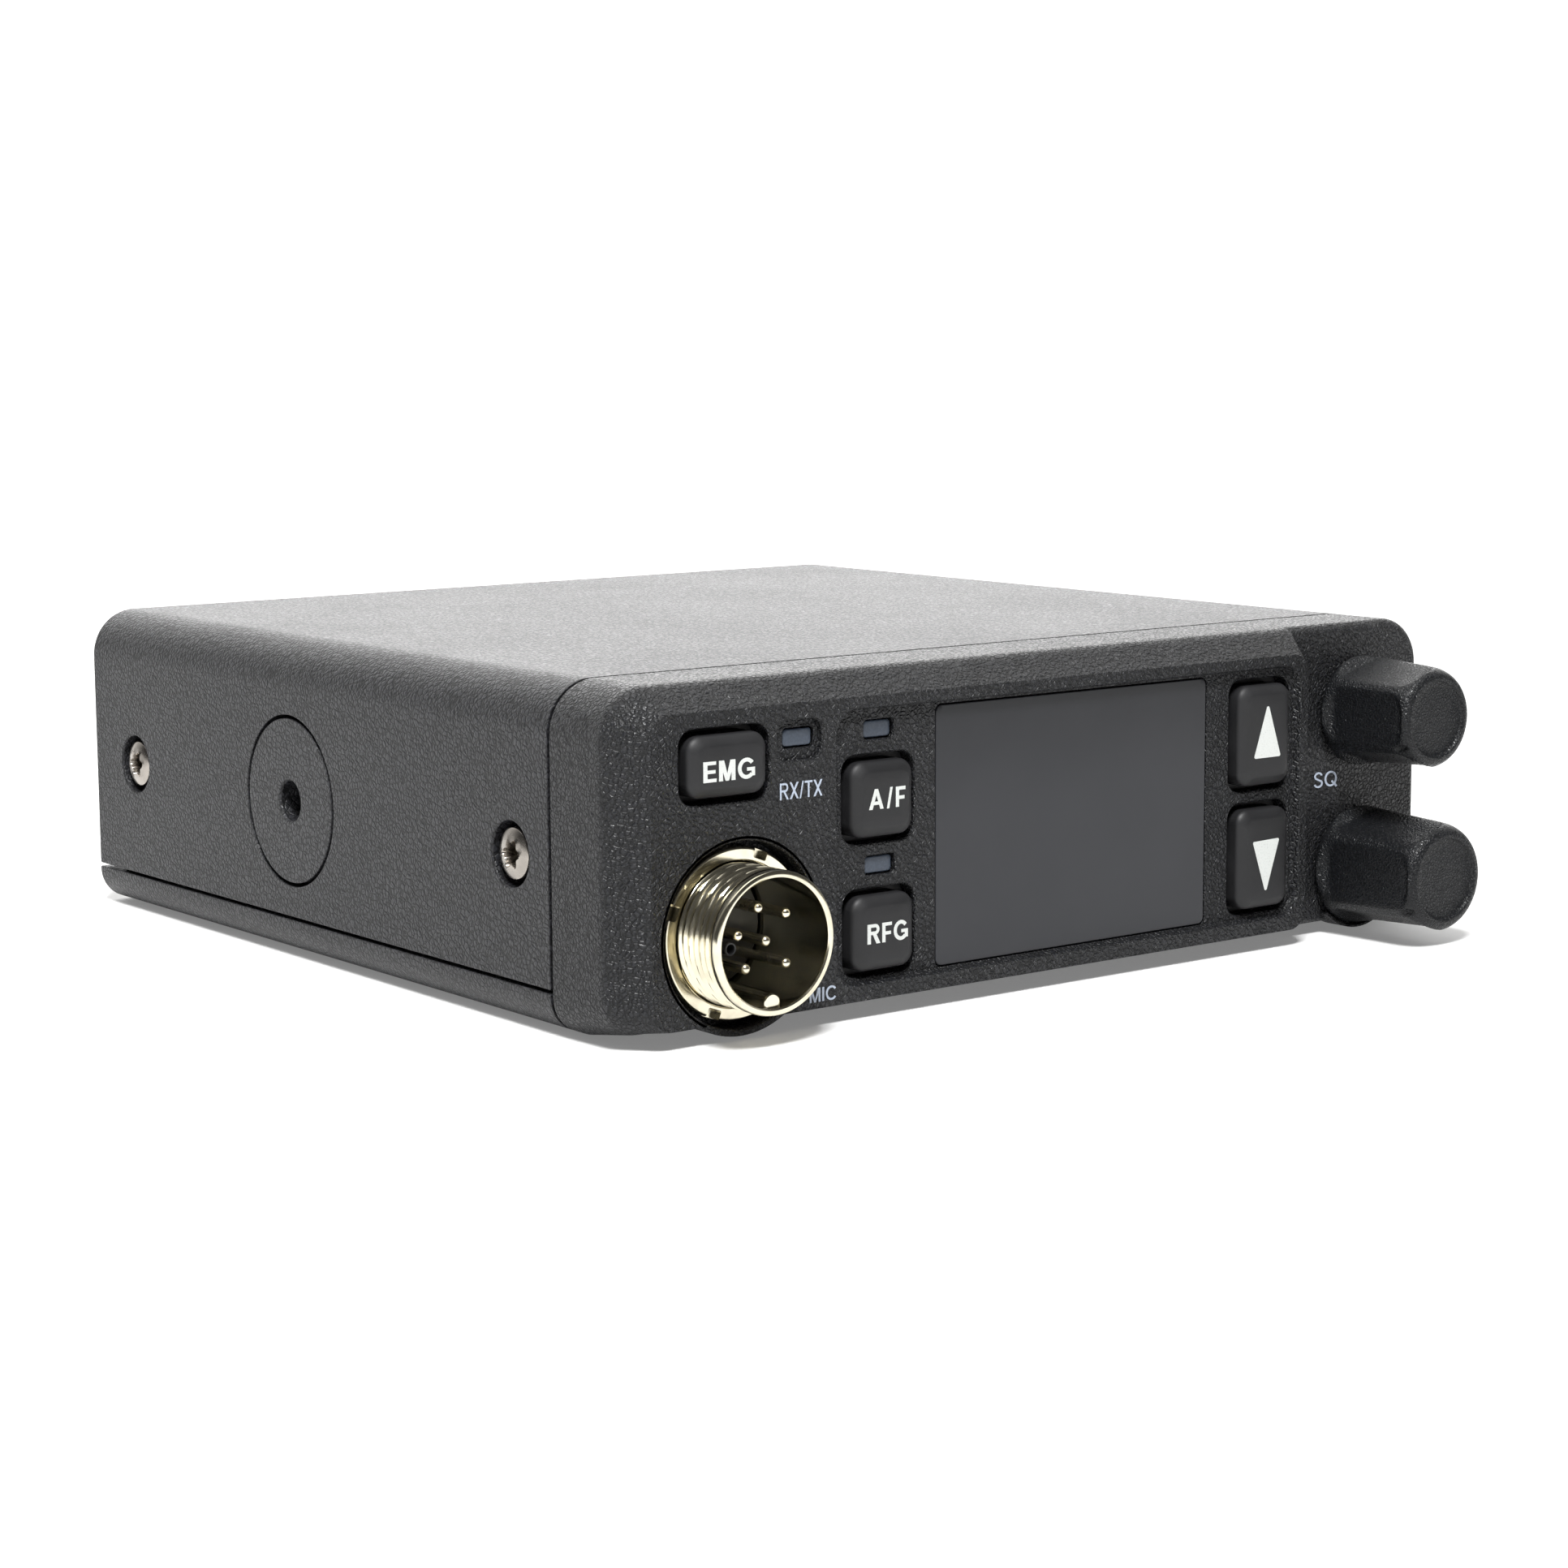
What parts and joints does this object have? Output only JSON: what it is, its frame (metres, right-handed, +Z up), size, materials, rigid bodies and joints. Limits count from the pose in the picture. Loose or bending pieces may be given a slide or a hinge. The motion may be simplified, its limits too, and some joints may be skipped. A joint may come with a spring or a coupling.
{
  "type": "mobile transceiver",
  "caption": "Flat box-shaped mobile transceiver with a stepped front bezel, colour display, push buttons, rotary controls and a threaded microphone socket.",
  "frame": {"origin": "centre of the bounding box's bottom, on the surface the transceiver rests on", "axes": "+X to the right as the front panel is faced, +Y from the front panel to the rear, +Z up"},
  "size_m": [0.128, 0.1484, 0.0393],
  "materials": {
    "cover_paint": "fine leather-like grained black paint",
    "bezel_plastic": "grained black moulded plastic",
    "button_rubber": "smooth matt black rubber with pale printed legends",
    "display_glass": "dark grey display window",
    "light_lens": "blue-grey indicator lens",
    "knob_plastic": "fine-textured black knob",
    "nickel_plate": "warm nickel plate",
    "screw_steel": "bright nickel-plated steel",
    "pin_metal": "polished plated pins",
    "black_casting": "black coated die casting",
    "black_plastic": "black moulded plastic",
    "white_plastic": "off-white insulator",
    "cast_aluminium": "bare die-cast aluminium",
    "circuit_board": "green solder mask",
    "tin_plate": "tinned sheet steel",
    "speaker_paper": "pressed paper cone",
    "ferrite": "dark ferrite"
  },
  "bodies": {
    "body": {"top_cover": "cover_paint", "bottom_cover": "cover_paint", "front_bezel": "bezel_plastic", "display_window": "display_glass", "light_pipe_rx_tx": "light_lens", "light_pipe_af": "light_lens", "light_pipe_rfg": "light_lens", "mic_shell": "nickel_plate", "mic_lock_ring": "nickel_plate", "antenna_socket": "nickel_plate", "speaker_jack": "nickel_plate", "side_screw_left_front": "screw_steel", "side_screw_left_rear": "screw_steel", "side_screw_right_front": "screw_steel", "side_screw_right_rear": "screw_steel", "bottom_screw_1": "screw_steel", "bottom_screw_2": "screw_steel", "bottom_screw_3": "screw_steel", "bottom_screw_4": "screw_steel", "mic_pin_1": "pin_metal", "mic_pin_2": "pin_metal", "mic_pin_3": "pin_metal", "mic_pin_4": "pin_metal", "mic_pin_5": "pin_metal", "mic_pin_6": "pin_metal", "antenna_contact": "pin_metal", "bracket_boss_left": "black_casting", "bracket_boss_right": "black_casting", "rear_panel": "black_casting", "mic_insulator": "black_plastic", "power_socket": "black_plastic", "switch_emg": "black_plastic", "switch_af": "black_plastic", "switch_rfg": "black_plastic", "switch_up": "black_plastic", "switch_down": "black_plastic", "processor_chip": "black_plastic", "smoothing_capacitor": "black_plastic", "board_connector": "black_plastic", "power_transistor": "black_plastic", "antenna_insulator": "white_plastic", "chassis": "cast_aluminium", "volume_potentiometer": "cast_aluminium", "squelch_potentiometer": "cast_aluminium", "front_circuit_board": "circuit_board", "main_circuit_board": "circuit_board", "lcd_module": "tin_plate", "rf_shield_can": "tin_plate", "speaker_frame": "tin_plate", "speaker_cone": "speaker_paper", "speaker_magnet": "ferrite"},
    "volume_control": {"volume_knob": "knob_plastic", "volume_shaft": "tin_plate"},
    "squelch_control": {"squelch_knob": "knob_plastic", "squelch_shaft": "tin_plate"},
    "emg_button": {"button_emg": "button_rubber"},
    "af_button": {"button_af": "button_rubber"},
    "rfg_button": {"button_rfg": "button_rubber"},
    "up_button": {"button_up": "button_rubber"},
    "down_button": {"button_down": "button_rubber"}
  },
  "joints": [
    {"name": "volume_turn", "type": "hinge", "parent": "body", "child": "volume_control", "pos_m": [0.0522, -0.063, 0.02818], "axis": [0, 1, 0], "range_deg": [0, 300]},
    {"name": "squelch_turn", "type": "hinge", "parent": "body", "child": "squelch_control", "pos_m": [0.0522, -0.063, 0.00829], "axis": [0, 1, 0], "range_deg": [0, 300]},
    {"name": "emg_press", "type": "slide", "parent": "body", "child": "emg_button", "axis": [0, 1, 0], "range_m": [0, 0.0008], "stiffness_N_per_m": 1500, "springref_m": -0.0002},
    {"name": "af_press", "type": "slide", "parent": "body", "child": "af_button", "axis": [0, 1, 0], "range_m": [0, 0.0008], "stiffness_N_per_m": 1500, "springref_m": -0.0002},
    {"name": "rfg_press", "type": "slide", "parent": "body", "child": "rfg_button", "axis": [0, 1, 0], "range_m": [0, 0.0008], "stiffness_N_per_m": 1500, "springref_m": -0.0002},
    {"name": "up_press", "type": "slide", "parent": "body", "child": "up_button", "axis": [0, 1, 0], "range_m": [0, 0.0008], "stiffness_N_per_m": 1500, "springref_m": -0.0002},
    {"name": "down_press", "type": "slide", "parent": "body", "child": "down_button", "axis": [0, 1, 0], "range_m": [0, 0.0008], "stiffness_N_per_m": 1500, "springref_m": -0.0002}
  ]
}
